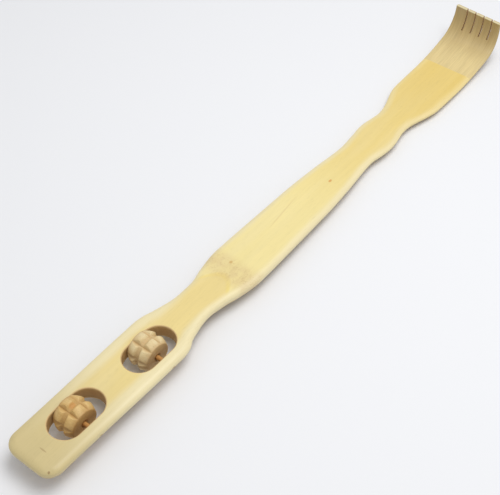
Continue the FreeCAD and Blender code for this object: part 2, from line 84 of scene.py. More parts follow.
outer_axle = node_middle("outer_pin")
inner_axle = node_middle("inner_pin")
run = inner_axle - outer_axle
lean = Matrix.Rotation(math.atan2(-run.z, run.x), 4, "Y")
handle_end = outer_axle - lean @ Vector((OUTER_PIN_AT, 0, -SLAT_THICK / 2)) * MM
STAND = Matrix.Translation(handle_end) @ lean
print("tilt %.3f degrees" % math.degrees(math.atan2(-run.z, run.x)))
print("handle end at", [round(number, 5) for number in handle_end])

# %% [markdown]
# ## The camera
#
# The photograph looks down at about 47 degrees, along the slat and from its near side,
# from a little over half a metre. The camera is placed in the slat's own axes and then
# carried over to the table with the same lean as the slat.

# %% Camera
PICTURE_WIDTH = 500
FOCAL_PIXELS = 1046.9
LOOK_DOWN = math.radians(46.9)
LOOK_ROUND = math.radians(37.74)
ROLL = math.radians(0.61)
EYE = Vector((-169.24, -288.11, 507.10)) * MM

ahead = Vector((math.cos(LOOK_ROUND) * math.cos(LOOK_DOWN),
                math.sin(LOOK_ROUND) * math.cos(LOOK_DOWN), -math.sin(LOOK_DOWN)))
level_right = ahead.cross(Vector((0, 0, 1))).normalized()
level_up = level_right.cross(ahead)
right = level_right * math.cos(ROLL) + level_up * math.sin(ROLL)
up = level_up * math.cos(ROLL) - level_right * math.sin(ROLL)
facing = Matrix((right, up, -ahead)).transposed().to_4x4()

camera_data = bpy.data.cameras.new("Camera")
camera_data.sensor_width = 36
camera_data.lens = FOCAL_PIXELS / PICTURE_WIDTH * camera_data.sensor_width
camera_data.clip_start = 0.01
camera_data.clip_end = 20
camera = in_scene("Camera", camera_data)
camera.matrix_world = STAND @ Matrix.Translation(EYE) @ facing
bpy.context.scene.camera = camera
print("lens %.1f mm" % camera_data.lens)

# %% [markdown]
# ## The flowing outline
#
# A carver draws such an outline through a few widths: full at the handle, narrow at the
# neck, full again at the shoulder, and so on to the broad head. The curve below passes
# through those widths without overshooting them.

# %% Widths, thicknesses and edges along the slat
def flowing(points, at):
    """Height of a smooth curve through points (place, height), with no overshoot."""
    places = [point[0] for point in points]
    heights = [point[1] for point in points]
    if at <= places[0]:
        return heights[0]
    if at >= places[-1]:
        return heights[-1]
    steps = [(heights[i + 1] - heights[i]) / (places[i + 1] - places[i])
             for i in range(len(points) - 1)]
    slopes = [0.0]
    for before, after in zip(steps, steps[1:]):
        same_way = before * after > 0
        slopes.append(2 * before * after / (before + after) if same_way else 0.0)
    slopes.append(0.0)
    i = max(k for k in range(len(steps)) if places[k] <= at)
    span = places[i + 1] - places[i]
    u = (at - places[i]) / span
    return (heights[i] * (1 + 2 * u) * (1 - u) ** 2 + slopes[i] * span * u * (1 - u) ** 2
            + heights[i + 1] * u * u * (3 - 2 * u) + slopes[i + 1] * span * u * u * (u - 1))


FACE_LENGTH = 455.0
BEND_FROM = 435.7
HEEL_RADIUS = 186.4
HEEL_TURN = math.radians(14.5)
CLAW_RADIUS = 21.3
CLAW_TURN = math.radians(93.1)
HEEL_END = BEND_FROM + HEEL_RADIUS * HEEL_TURN
TIP_AT = HEEL_END + CLAW_RADIUS * (CLAW_TURN - HEEL_TURN)
END_CORNER = 10.0
TIP_ROUND = 0.7
TIP_WIDTH = 40.6
# How much further back the teeth curl for each millimetre to the right, at their tips.
TWIST = 0.055

WIDTHS = [(END_CORNER, 39.0), (112, 41.3), (119, 39.4), (126, 33.7), (147, 26.0), (160, 28.0),
          (172, 33.8), (191, 38.9), (240, 37.1), (270, 35.5), (296, 32.0), (329, 26.4), (341, 29.1),
          (354, 31.2), (376, 25.9), (412, 41.2), (440, 42.2), (HEEL_END, 42.3), (TIP_AT, TIP_WIDTH)]
BOW = [(118, 0.0), (127, 0.8), (147, 0.8), (162, 0.0), (330, 0.0), (344, -0.5), (356, 0.0),
       (367, 0.4), (378, 0.0), (391, -0.3), (404, 0.1), (414, 0.45), (HEEL_END, 0.45), (TIP_AT, 1.38)]
THICKNESSES = [(147, SLAT_THICK), (329, 7.4), (FACE_LENGTH, 5.4), (TIP_AT, 2.8)]
UPPER_EDGES = [(FACE_LENGTH, 5.0), (HEEL_END, 1.2)]
UNDER_EDGES = [(FACE_LENGTH, 7.0), (HEEL_END, 1.6)]
# Depth of the widest line under the upper face, as a share of the thickness.
CREST = 0.28
print("length along the face: %.1f mm" % TIP_AT)

# %% [markdown]
# ## The bent spine
#
# The upper face is straight for 436 mm. Then it bends twice, first gently and then
# tightly, as a strip of steamed bamboo does over a round former. Each place along the
# slat so has a point and a slope, and a section is drawn square to that slope. A section
# is a closed ring: a flat top, a flat underside, and an edge of two quarter ellipses that
# meet at the widest line, which lies nearer the upper face. The strip also bows a little
# to the side, where it was not quite straight.

# %% Spine and sections
def spine(along):
    """Point and slope of the slat's upper face, in the slat's own axes."""
    if along <= BEND_FROM:
        return along, 0.0, 0.0
    if along <= HEEL_END:
        slope = (along - BEND_FROM) / HEEL_RADIUS
        return (BEND_FROM + HEEL_RADIUS * math.sin(slope),
                HEEL_RADIUS * (1 - math.cos(slope)), slope)
    x, z, first = spine(HEEL_END)
    slope = first + (along - HEEL_END) / CLAW_RADIUS
    return (x + CLAW_RADIUS * (math.sin(slope) - math.sin(first)),
            z + CLAW_RADIUS * (math.cos(first) - math.cos(slope)), slope)


def rounding(depth, radius):
    """How far a rounded corner has opened out, that deep behind its front."""
    depth = min(max(depth, 0.0), radius)
    return math.sqrt(radius ** 2 - (radius - depth) ** 2)


FLAT_STEPS = 12
EDGE_STEPS = 8


def section(along):
    """Points round the slat: (side, rise above the middle of the thickness)."""
    thick = flowing(THICKNESSES, along)
    half_width = flowing(WIDTHS, along) / 2
    over, under = flowing(UPPER_EDGES, along), flowing(UNDER_EDGES, along)
    crest = thick * (0.5 - CREST)
    climb, drop = thick * CREST, thick * (1 - CREST)
    flat_half, base_half = half_width - over, half_width - under
    if along < END_CORNER:
        square_half = half_width - END_CORNER
        half_width = square_half + rounding(along, END_CORNER)
        flat_half = square_half + rounding(along - over, END_CORNER - over)
        base_half = square_half + rounding(along - under, END_CORNER - under)
        swell = rounding(along, thick / 2) / (thick / 2)
        climb, drop = climb * swell, drop * swell
    if along > TIP_AT - TIP_ROUND:
        worn = TIP_ROUND - rounding(TIP_AT - along, TIP_ROUND)
        half_width, climb, drop = half_width - worn, climb - worn * CREST, drop - worn
    turns = [math.pi / 2 * i / EDGE_STEPS for i in range(EDGE_STEPS + 1)]
    upper = [(flat_half + (half_width - flat_half) * math.sin(turn), crest + climb * math.cos(turn))
             for turn in turns]
    lower = [(base_half + (half_width - base_half) * math.cos(turn), crest - drop * math.sin(turn))
             for turn in turns[1:]]
    edge = upper + lower
    top = [(flat_half * (2 * i / FLAT_STEPS - 1), crest + climb) for i in range(1, FLAT_STEPS)]
    bottom = [(base_half * (1 - 2 * i / FLAT_STEPS), crest - drop) for i in range(1, FLAT_STEPS)]
    return top + edge + bottom + [(-side, rise) for side, rise in reversed(edge)]


print("points in a section:", len(section(200)))

# %% [markdown]
# ## The blank of the slat
#
# The blank is the slat before any hole is cut: rings of points a few millimetres apart,
# closer together where it bends or ends, with quads between them.

# %% Rings and quads
def spaced(start, end, step):
    """Places from start up to, but not at, end, about a step apart."""
    count = max(1, round((end - start) / step))
    return [start + (end - start) * i / count for i in range(count)]


BUTT_END = SLAT_THICK / 2
BUTT_CUTS = 10
CORNER_STEP = 0.7
FACE_STEP = 2.5
HEEL_STEP = 1.2
CLAW_STEP = 0.8
TIP_CUTS = 4
butt = [BUTT_END * (1 - math.cos(math.pi / 2 * i / BUTT_CUTS)) for i in range(1, BUTT_CUTS)]
places = [butt[0] / 2] + butt + spaced(BUTT_END, END_CORNER, CORNER_STEP)
places += spaced(END_CORNER, BEND_FROM, FACE_STEP) + spaced(BEND_FROM, HEEL_END, HEEL_STEP)
places += spaced(HEEL_END, TIP_AT - TIP_ROUND, CLAW_STEP)
places += [TIP_AT - TIP_ROUND * (1 - math.sin(math.pi / 2 * i / TIP_CUTS)) for i in range(TIP_CUTS)]
# The last ring lies a fiftieth of the rounding before the tip and is closed flat.
places.append(TIP_AT - TIP_ROUND / 50)


def curled_back(along, side):
    """How far the teeth on the right have curled back more than those on the left."""
    share = min(max((along - HEEL_END) / (TIP_AT - HEEL_END), 0.0), 1.0)
    return TWIST * (TIP_WIDTH / 2 - side) * share ** 2


def slat_point(along, side, rise):
    """From places along, across and through the bamboo to the slat's own axes."""
    x, z, slope = spine(along)
    height = rise - flowing(THICKNESSES, along) / 2
    x -= math.sin(slope) * height + curled_back(along, side)
    return Vector((x, side + flowing(BOW, along), z + math.cos(slope) * height))


def skin_over(build, rings):
    """Quads from each ring to the next, and a face over each end."""
    for ring, following in zip(rings, rings[1:]):
        for i, vert in enumerate(ring):
            j = (i + 1) % len(ring)
            build.faces.new((vert, ring[j], following[j], following[i]))
    build.faces.new(list(reversed(rings[0])))
    build.faces.new(rings[-1])
    bmesh.ops.recalc_face_normals(build, faces=build.faces)


def slat_blank():
    """The slat without its holes."""
    build = bmesh.new()
    rings = [[build.verts.new(slat_point(along, side, rise) * MM) for side, rise in section(along)]
             for along in places]
    skin_over(build, rings)
    return build


def from_bmesh(name, build):
    """A mesh object from a finished bmesh."""
    mesh = bpy.data.meshes.new(name)
    build.to_mesh(mesh)
    build.free()
    return in_scene(name, mesh)


def evaluated_mesh(item, name):
    """The plain mesh that an object's modifiers give, as a new object."""
    bpy.context.view_layer.update()
    graph = bpy.context.evaluated_depsgraph_get()
    mesh = bpy.data.meshes.new_from_object(item.evaluated_get(graph), preserve_all_data_layers=True,
                                           depsgraph=graph)
    mesh.name = name
    return in_scene(name, mesh)


slat = from_bmesh("bamboo_slat_carved", slat_blank())
print("rings %d, faces %d" % (len(places), len(slat.data.polygons)))

# %% [markdown]
# ## Windows
#
# Each window was routed with a round cutter, so it has straight sides and round ends,
# and its rims were softened afterwards. The cutter below is a stack of such outlines:
# straight through the thickness, and flared out in a quarter round at both faces.

# %% Window cutters
WINDOW_LENGTH = 39.2
WINDOW_WIDTH = 22.4
WINDOW_RIM = 0.7
WINDOWS_AT = {"outer": (40.6, -0.3), "inner": (101.6, -1.8)}
RIM_STEPS = 5
ROUND_STEPS = 24


def window_outline(grow):
    """Points of a long hole with round ends, grown by that much."""
    radius = WINDOW_WIDTH / 2 + grow
    reach = (WINDOW_LENGTH - WINDOW_WIDTH) / 2
    outline = []
    for end in (1, -1):
        for i in range(ROUND_STEPS + 1):
            angle = -math.pi / 2 + math.pi * i / ROUND_STEPS
            outline.append((end * (reach + radius * math.cos(angle)), end * radius * math.sin(angle)))
    return outline


def window_levels():
    """Levels of the cutter from below to above, and how far each is flared."""
    turns = [math.pi / 2 * i / RIM_STEPS for i in range(RIM_STEPS + 1)]
    above = [(WINDOW_RIM * (math.sin(turn) - 1), WINDOW_RIM * (1 - math.cos(turn))) for turn in turns]
    above.append((WINDOW_RIM, WINDOW_RIM))
    below = [(-SLAT_THICK - height, grow) for height, grow in reversed(above)]
    return below + above


def window_cutter(which):
    """The cutter of one window."""
    at, side = WINDOWS_AT[which]
    build = bmesh.new()
    rings = [[build.verts.new(Vector((at + x, side + y, height)) * MM)
              for x, y in window_outline(grow)] for height, grow in window_levels()]
    skin_over(build, rings)
    return from_bmesh(which + "_window_cutter", build)


cutters = [window_cutter("outer"), window_cutter("inner")]
print("cutter levels:", len(window_levels()))

# %% [markdown]
# ## Pin holes and pins
#
# A straight drill goes across the handle at half its thickness, once for each axle pin.
# A bamboo stick is pressed into each hole, cut off and sanded flush with the slat's
# rounded edges. Here a stick is what a long rod and the uncut blank have in common.

# %% Drills and sticks
PIN_DIAMETER = 3.0
PIN_SLACK = 0.02
ROD_LENGTH = 60
ROD_SIDES = 32


def rod(name, at, diameter):
    """A long round rod across the handle."""
    build = bmesh.new()
    bmesh.ops.create_cone(build, cap_ends=True, segments=ROD_SIDES, radius1=diameter / 2 * MM,
                          radius2=diameter / 2 * MM, depth=ROD_LENGTH * MM)
    place = Matrix.Translation(Vector((at, 0, -SLAT_THICK / 2)) * MM)
    across = Matrix.Rotation(math.pi / 2, 4, "X")
    bmesh.ops.transform(build, matrix=place @ across, verts=build.verts)
    return from_bmesh(name, build)


def pin_stick(name, at):
    """A stick that fills its hole and ends flush with the slat's edges."""
    stick = rod(name + "_rod", at, PIN_DIAMETER - PIN_SLACK)
    sanded = stick.modifiers.new("sanded flush", "BOOLEAN")
    sanded.operation = "INTERSECT"
    sanded.solver = "EXACT"
    sanded.object = slat
    made = evaluated_mesh(stick, name)
    bpy.data.objects.remove(stick)
    return made


cutters += [rod("outer_drill", OUTER_PIN_AT, PIN_DIAMETER), rod("inner_drill", INNER_PIN_AT, PIN_DIAMETER)]
sticks = {"outer_pin": pin_stick("outer_pin_stick", OUTER_PIN_AT),
          "inner_pin": pin_stick("inner_pin_stick", INNER_PIN_AT)}
print("faces of a stick:", len(sticks["outer_pin"].data.polygons))

# %% [markdown]
# ## Saw cuts
#
# The teeth are made by four straight saw cuts of one depth, set side by side at one
# pitch. What repeats by a rule suits Geometry Nodes: one thin box stands for the saw's
# blade, and a line of points repeats it.

# %% Helpers for nodes
def wire(tree, socket, value):
    """Feed a socket from another socket, or with a plain value."""
    if isinstance(value, bpy.types.NodeSocket):
        tree.links.new(value, socket)
    else:
        socket.default_value = value


def add(tree, kind, **inputs):
    """One node with its inputs fed by name; underscores in a name stand for spaces."""
    node = tree.nodes.new(kind)
    for title, value in inputs.items():
        wire(tree, node.inputs[title.replace("_", " ")], value)
    return node


def name_inputs(tree, inputs):
    """Give a tree its inputs, from (name, kind, value)."""
    for title, kind, value in inputs:
        socket = tree.interface.new_socket(title, in_out="INPUT", socket_type=kind)
        if value is not None:
            socket.default_value = value


def new_tree(name, inputs):
    """A geometry node tree with named inputs; returns the tree, its input and output nodes."""
    tree = bpy.data.node_groups.new(name, "GeometryNodeTree")
    tree.interface.new_socket("Geometry", in_out="INPUT", socket_type="NodeSocketGeometry")
    name_inputs(tree, inputs)
    tree.interface.new_socket("Geometry", in_out="OUTPUT", socket_type="NodeSocketGeometry")
    return tree, tree.nodes.new("NodeGroupInput"), tree.nodes.new("NodeGroupOutput")


def end_tree(tree, geometry, source, sink):
    """End a tree with real geometry in the material of its input."""
    real = add(tree, "GeometryNodeRealizeInstances", Geometry=geometry)
    finish = add(tree, "GeometryNodeSetMaterial", Geometry=real.outputs[0],
                 Material=source.outputs["Material"])
    tree.links.new(finish.outputs[0], sink.inputs[0])


def fill_inputs(modifier, values):
    """Set a modifier's inputs, found by their names in its tree."""
    for item in modifier.node_group.interface.items_tree:
        if item.item_type == "SOCKET" and item.in_out == "INPUT" and item.name in values:
            modifier[item.identifier] = values[item.name]


def seed_object(name):
    """An empty mesh object that a tree can start from."""
    return in_scene(name, bpy.data.meshes.new(name))


# %% The saw's tree
SLIT_WIDTH = 1.1
SLIT_LENGTH = 17.7
SLIT_COUNT = 4
SAW_HEIGHT = 37
WIDE_TOOTH = 10.6
TOOTH_PITCH = 7.5
SAW_LEAN = math.radians(1.6)


def saw_tree():
    """Thin boxes side by side: the four passes of the saw."""
    tree, source, sink = new_tree("Saw cuts", [
        ("Cuts", "NodeSocketInt", SLIT_COUNT), ("Pitch", "NodeSocketFloat", TOOTH_PITCH * MM),
        ("Blade", "NodeSocketVector", None), ("Material", "NodeSocketMaterial", None)])
    given = source.outputs
    blade = add(tree, "GeometryNodeMeshCube", Size=given["Blade"])
    pitch = add(tree, "ShaderNodeCombineXYZ", Y=given["Pitch"])
    line = add(tree, "GeometryNodeMeshLine", Count=given["Cuts"], Offset=pitch.outputs[0])
    repeat = add(tree, "GeometryNodeInstanceOnPoints", Points=line.outputs[0],
                 Instance=blade.outputs["Mesh"])
    end_tree(tree, repeat.outputs[0], source, sink)
    return tree


saw = seed_object("saw")
passes = saw.modifiers.new("Saw cuts", "NODES")
passes.node_group = saw_tree()
fill_inputs(passes, {"Cuts": SLIT_COUNT, "Pitch": -TOOTH_PITCH * MM,
                     "Blade": Vector((2 * SLIT_LENGTH, SLIT_WIDTH, SAW_HEIGHT)) * MM})
saw_cuts = evaluated_mesh(saw, "saw_cuts")
bpy.data.objects.remove(saw)
root_x, root_z, root_slope = spine(TIP_AT - SLIT_LENGTH)
first_cut = TIP_WIDTH / 2 - WIDE_TOOTH - SLIT_WIDTH / 2 + BOW[-1][1]
saw_place = (Matrix.Translation(Vector((root_x, first_cut, root_z)) * MM)
             @ Matrix.Rotation(-root_slope, 4, "Y") @ Matrix.Rotation(SAW_LEAN, 4, "Z")
             @ Matrix.Translation(Vector((SLIT_LENGTH, 0, 0)) * MM))
saw_cuts.data.transform(saw_place)
cutters.append(saw_cuts)
print("saw cuts:", len(saw_cuts.data.polygons) // 6)

# %% [markdown]
# ## Words for shader nodes
#
# Every finish here is built from nodes. A helper adds one node, feeds its inputs and hands
# back its output, so that a finish reads from top to bottom like a recipe. Paint is
# written in everyday 0 to 255 numbers.

# %% Paint and node helpers
def paint(red, green, blue):
    """A colour from its everyday 0 to 255 numbers."""
    linear = [((part / 255 + 0.055) / 1.055) ** 2.4 for part in (red, green, blue)]
    return (*linear, 1.0)


def sums(tree, operation, *values):
    """One Math node; returns its output."""
    node = tree.nodes.new("ShaderNodeMath")
    node.operation = operation
    for socket, value in zip(node.inputs, values):
        wire(tree, socket, value)
    return node.outputs[0]


def times(tree, first, second):
    """One number times another."""
    return sums(tree, "MULTIPLY", first, second)


def plus(tree, first, second):
    """One number and another."""
    return sums(tree, "ADD", first, second)


def minus(tree, first, second):
    """One number less another."""
    return sums(tree, "SUBTRACT", first, second)


def ramp(tree, value, low, high, at_low=0.0, at_high=1.0):
    """A smooth change of a value from low to high."""
    node = add(tree, "ShaderNodeMapRange", Value=value, From_Min=low, From_Max=high,
               To_Min=at_low, To_Max=at_high)
    node.interpolation_type = "SMOOTHSTEP"
    return node.outputs["Result"]


def blend(tree, share, first, second, way="MIX"):
    """A mix of two colours."""
    node = tree.nodes.new("ShaderNodeMix")
    node.data_type = "RGBA"
    node.blend_type = way
    wire(tree, node.inputs[0], share)
    wire(tree, node.inputs[6], first)
    wire(tree, node.inputs[7], second)
    return node.outputs[2]


def apart(tree, vector):
    """The three numbers of a vector."""
    return add(tree, "ShaderNodeSeparateXYZ", Vector=vector).outputs


def together(tree, x, y, z):
    """A vector from three numbers."""
    return add(tree, "ShaderNodeCombineXYZ", X=x, Y=y, Z=z).outputs[0]


def vectors(tree, operation, first, second):
    """One Vector Math node with a vector as its result."""
    node = tree.nodes.new("ShaderNodeVectorMath")
    node.operation = operation
    wire(tree, node.inputs[0], first)
    wire(tree, node.inputs[1], second)
    return node.outputs[0]


def stretched(tree, vector, x, y, z):
    """A vector with each of its numbers multiplied."""
    return vectors(tree, "MULTIPLY", vector, Vector((x, y, z)))


def lit(tree, colour, light):
    """A colour made lighter or darker; 1 leaves it as it is."""
    return blend(tree, 1.0, colour, together(tree, light, light, light), "MULTIPLY")


def noise(tree, vector, detail=2.0, roughness=0.5):
    """Soft noise, about one blot for each unit of the vector."""
    node = add(tree, "ShaderNodeTexNoise", Vector=vector, Scale=1.0, Detail=detail,
               Roughness=roughness)
    return node.outputs["Fac"]


def kept(tree, name):
    """The outputs of a piece's attribute: Vector, and Fac for a plain number."""
    node = tree.nodes.new("ShaderNodeAttribute")
    node.attribute_name = name
    return node.outputs


def shader_group(name, inputs, outputs):
    """A shader node group with named inputs and outputs."""
    tree = bpy.data.node_groups.new(name, "ShaderNodeTree")
    name_inputs(tree, inputs)
    for title, kind in outputs:
        tree.interface.new_socket(title, in_out="OUTPUT", socket_type=kind)
    return tree, tree.nodes.new("NodeGroupInput").outputs, tree.nodes.new("NodeGroupOutput").inputs


def use(tree, group, **values):
    """Place a group in a tree; underscores in a name stand for spaces."""
    node = tree.nodes.new("ShaderNodeGroup")
    node.node_tree = group
    for title, value in values.items():
        wire(tree, node.inputs[title.replace("_", " ")], value)
    return node.outputs


def new_finish(name, rough):
    """A material with one Principled shader; returns it, its tree and the shader's inputs."""
    material = bpy.data.materials.new(name)
    material.use_nodes = True
    surface = material.node_tree.nodes["Principled BSDF"].inputs
    surface["Roughness"].default_value = rough
    return material, material.node_tree, surface


def bump(tree, height, strength, distance):
    """A normal from a height, in metres."""
    node = add(tree, "ShaderNodeBump", Strength=strength, Distance=distance, Height=height)
    return node.outputs[0]


# %% [markdown]
# ## Fibres
#
# Bamboo and wood are bundles of fibres: long along the stem, a fraction of a millimetre
# across. Noise that is stretched along the fibre shows them at the right scale. Three
# sizes are layered: fine threads, broader streaks, and short dark pores.

# %% The fibre group
def fibre_group():
    """Fine threads, broad streaks and short pores along the first axis of a place in metres."""
    tree, given, result = shader_group(
        "fibres",
        [("Place", "NodeSocketVector", None), ("Thread length", "NodeSocketFloat", 0.03),
         ("Thread width", "NodeSocketFloat", 0.0005), ("Shift", "NodeSocketFloat", 0.0)],
        [("Threads", "NodeSocketFloat"), ("Streaks", "NodeSocketFloat"), ("Pores", "NodeSocketFloat")])
    lengthwise = sums(tree, "DIVIDE", 1.0, given["Thread length"])
    crosswise = sums(tree, "DIVIDE", 1.0, given["Thread width"])
    place = vectors(tree, "MULTIPLY", given["Place"], together(tree, lengthwise, crosswise, crosswise))
    shift = together(tree, given["Shift"], given["Shift"], given["Shift"])
    place = vectors(tree, "ADD", place, shift)
    tree.links.new(noise(tree, place, 3.0, 0.6), result["Threads"])
    broad = stretched(tree, place, 0.4, 0.13, 0.13)
    tree.links.new(noise(tree, broad, 3.0, 0.55), result["Streaks"])
    short = stretched(tree, place, 6.0, 1.1, 1.1)
    tree.links.new(ramp(tree, noise(tree, short, 0.0), 0.66, 0.74), result["Pores"])
    return tree


fibres = fibre_group()


# %% [markdown]
# ## Spots
#
# Small marks, such as a knot's dot or a blemish, are soft-edged spots at a known place.
# One group draws a spot, and each mark is that group with its own place and size.

# %% The spot group
def spot_group():
    """1 inside a soft-edged spot, 0 outside."""
    tree, given, result = shader_group(
        "spot",
        [("Place", "NodeSocketVector", None), ("Middle", "NodeSocketVector", None),
         ("Size", "NodeSocketVector", None), ("Ragged", "NodeSocketFloat", 0.3)],
        [("Mask", "NodeSocketFloat")])
    away = vectors(tree, "DIVIDE", vectors(tree, "SUBTRACT", given["Place"], given["Middle"]), given["Size"])
    length = tree.nodes.new("ShaderNodeVectorMath")
    length.operation = "LENGTH"
    tree.links.new(away, length.inputs[0])
    rag = minus(tree, noise(tree, stretched(tree, away, 2.5, 2.5, 2.5)), 0.5)
    edge = plus(tree, length.outputs["Value"], times(tree, rag, given["Ragged"]))
    tree.links.new(ramp(tree, edge, 1.0, 0.55), result["Mask"])
    return tree


spot = spot_group()
print("shader groups:", fibres.name, spot.name)

# %% [markdown]
# ## Planed bamboo
#
# Planed bamboo is a pale straw yellow with a satin sheen. A deeper yellow band runs down
# the middle of the flat face; the eased edges are cream. At the bamboo's node the fibres
# are crossed by a speckled brownish belt with one brown dot. The band ends squarely where
# the claw begins, and from there the hollow of the claw is a greyer tan with clear fibres.

# %% Planed bamboo finish
STRAW = paint(234, 212, 142)
STRAW_PALE = paint(240, 223, 156)
STRAW_DEEP = paint(229, 200, 114)
CREAM = paint(237, 223, 176)
CREAM_HEAD = paint(236, 214, 148)
TOOTH_END = paint(226, 214, 172)
# The next two paints carry painted shade: the handle's end in part, and the lower half of every edge.
HANDLE_DULL_SHADE = paint(209, 191, 138)
LOWER_EDGE_SHADE = paint(178, 148, 102)
NODE_BROWN = paint(170, 128, 80)
NODE_TAN = paint(216, 190, 138)
NODE_YELLOW = paint(238, 214, 118)
NODE_DOT = paint(205, 165, 95)
GRAIN_LINE = paint(205, 172, 112)
CLAW_CREAM = paint(224, 202, 144)
CLAW_TAN = paint(174, 149, 97)
DARK_SPOT = paint(132, 88, 48)
BLEMISH = paint(214, 150, 72)
NODE_FROM = 0.168
NODE_TO = 0.196
# How strongly the arched line at the node bends, for each metre to the side, squared.
ARCH_CURVE = 90.0
LINE_SLANT = 0.11
LINE_START = -0.0218


def planed_bamboo():
    """Straw-yellow bamboo that was planed and rubbed smooth; places in metres."""
    material, tree, surface = new_finish("bamboo_planed", 0.42)
    strip = kept(tree, "strip")["Vector"]
    edge = kept(tree, "edge")["Fac"]
    along, across, rise = apart(tree, strip)
    grain = use(tree, fibres, Place=strip, Thread_length=0.030, Thread_width=0.0005)
    cloud = noise(tree, stretched(tree, strip, 28, 120, 120), 2.0)
    wander = times(tree, minus(tree, cloud, 0.5), 0.9)

    # The flat face is paler past the arched line at the node, and riper towards the claw.
    claw = ramp(tree, along, FACE_LENGTH * MM - 0.0005, FACE_LENGTH * MM + 0.0005)
    border = ramp(tree, along, 0.110, 0.155, -0.75, 0.30)
    inside = ramp(tree, minus(tree, plus(tree, edge, wander), border), 0.55, -0.55)
    arch = sums(tree, "MULTIPLY_ADD", times(tree, across, across), ARCH_CURVE, along)
    colour = blend(tree, ramp(tree, arch, 0.1745, 0.1790), STRAW, STRAW_PALE)
    ripe = sums(tree, "MULTIPLY_ADD", ramp(tree, along, 0.24, 0.36), 0.65,
                times(tree, ramp(tree, along, 0.35, 0.45), 0.35))
    colour = blend(tree, ripe, colour, STRAW_DEEP)
    patchy = ramp(tree, noise(tree, stretched(tree, strip, 11, 75, 75), 2.5), 0.40, 0.60)
    rim = times(tree, ramp(tree, arch, 0.1725, 0.1755), ramp(tree, arch, 0.1795, 0.1770))
    colour = blend(tree, times(tree, rim, 0.5), colour, NODE_YELLOW)
    deep = times(tree, inside, sums(tree, "MULTIPLY_ADD", patchy, 0.2, 0.8))
    cream = blend(tree, ramp(tree, along, 0.30, 0.45), CREAM, CREAM_HEAD)
    colour = blend(tree, deep, cream, colour)

    # One thin brown line of grain slants across the blade.
    line = sums(tree, "MULTIPLY_ADD", along, LINE_SLANT, LINE_START)
    beside = sums(tree, "ABSOLUTE", minus(tree, across, line))
    figure = times(tree, ramp(tree, beside, 0.0008, 0.0001),
                   times(tree, ramp(tree, along, 0.226, 0.238), ramp(tree, along, 0.268, 0.254)))
    colour = blend(tree, times(tree, figure, 0.25), colour, GRAIN_LINE)

    # The hollow of the claw is darker, and the cut ends of the teeth are pale.
    hollow = ramp(tree, along, 0.462, 0.505)
    hollow = plus(tree, hollow, times(tree, minus(tree, grain["Streaks"], 0.5), 0.8))
    claw_colour = blend(tree, hollow, CLAW_CREAM, CLAW_TAN)
    claw_colour = lit(tree, claw_colour, ramp(tree, grain["Threads"], 0.30, 0.70, 0.93, 1.07))
    tooth_end = ramp(tree, along, TIP_AT * MM - 0.0007, TIP_AT * MM - 0.0003)
    claw_colour = blend(tree, tooth_end, claw_colour, TOOTH_END)
    colour = blend(tree, claw, colour, claw_colour)

    # The handle's end is duller, partly its own colour and partly painted shade where the light falls off,
    # and the lower half of every edge is painted darker and browner as painted shade.
    colour = blend(tree, ramp(tree, along, 0.085, 0.004), colour, HANDLE_DULL_SHADE)
    lower = ramp(tree, sums(tree, "MULTIPLY_ADD", wander, 0.002, rise), 0.0016, -0.0026)
    colour = blend(tree, times(tree, lower, 0.75), colour, LOWER_EDGE_SHADE)

    # The node's belt is mottled tan with fine brown specks.
    belt = times(tree, ramp(tree, along, NODE_FROM, NODE_FROM + 0.010),
                 ramp(tree, along, NODE_TO, NODE_TO - 0.010))
    speck = noise(tree, stretched(tree, strip, 1300, 1500, 1500), 3.0, 0.7)
    mottle = ramp(tree, noise(tree, stretched(tree, strip, 160, 160, 160), 2.0), 0.40, 0.62)
    tan = times(tree, belt, sums(tree, "MULTIPLY_ADD", mottle, 0.25, 0.25))
    colour = blend(tree, tan, colour, NODE_TAN)
    speck = times(tree, belt, ramp(tree, speck, 0.52, 0.70))
    colour = blend(tree, times(tree, speck, 0.45), colour, NODE_BROWN)

    light = sums(tree, "MULTIPLY_ADD", grain["Threads"], 0.10, 0.95)
    light = times(tree, light, sums(tree, "MULTIPLY_ADD", grain["Streaks"], 0.10, 0.95))
    colour = lit(tree, colour, minus(tree, light, times(tree, grain["Pores"], 0.05)))
    for middle, size, tint, strength in (
            ((0.188, 0.004, 0.0051), (0.0016, 0.0013, 0.004), NODE_DOT, 0.7),
            ((0.292, -0.002, 0.004), (0.0020, 0.0011, 0.004), BLEMISH, 0.8),
            ((0.0114, -0.003, 0.0051), (0.0006, 0.0033, 0.004), DARK_SPOT, 0.35),
            ((0.0036, -0.0154, 0.003), (0.0010, 0.0009, 0.004), DARK_SPOT, 0.6)):
        mask = use(tree, spot, Place=strip, Middle=Vector(middle), Size=Vector(size))["Mask"]
        colour = blend(tree, times(tree, mask, strength), colour, tint)
    tree.links.new(colour, surface["Base Color"])
    tree.links.new(ramp(tree, grain["Streaks"], 0.3, 0.7, 0.38, 0.50), surface["Roughness"])
    tree.links.new(bump(tree, grain["Threads"], 0.25, 0.0001), surface["Normal"])
    return material


planed = planed_bamboo()

# %% [markdown]
# ## Sawn bamboo
#
# Where a cutter or saw has crossed the fibres, their ends drink up dust and finish, so
# the walls of the windows and slits are browner. They are lighter near the faces and darker
# towards the middle of the thickness. The slit walls are also painted lighter and more orange,
# as painted light bounced between the saw's walls.

# %% Sawn bamboo finish
SAWN_LIGHT = paint(222, 194, 140)
SAWN_DARK = paint(186, 150, 98)
SLIT_BROWN_BOUNCE = paint(184, 144, 82)


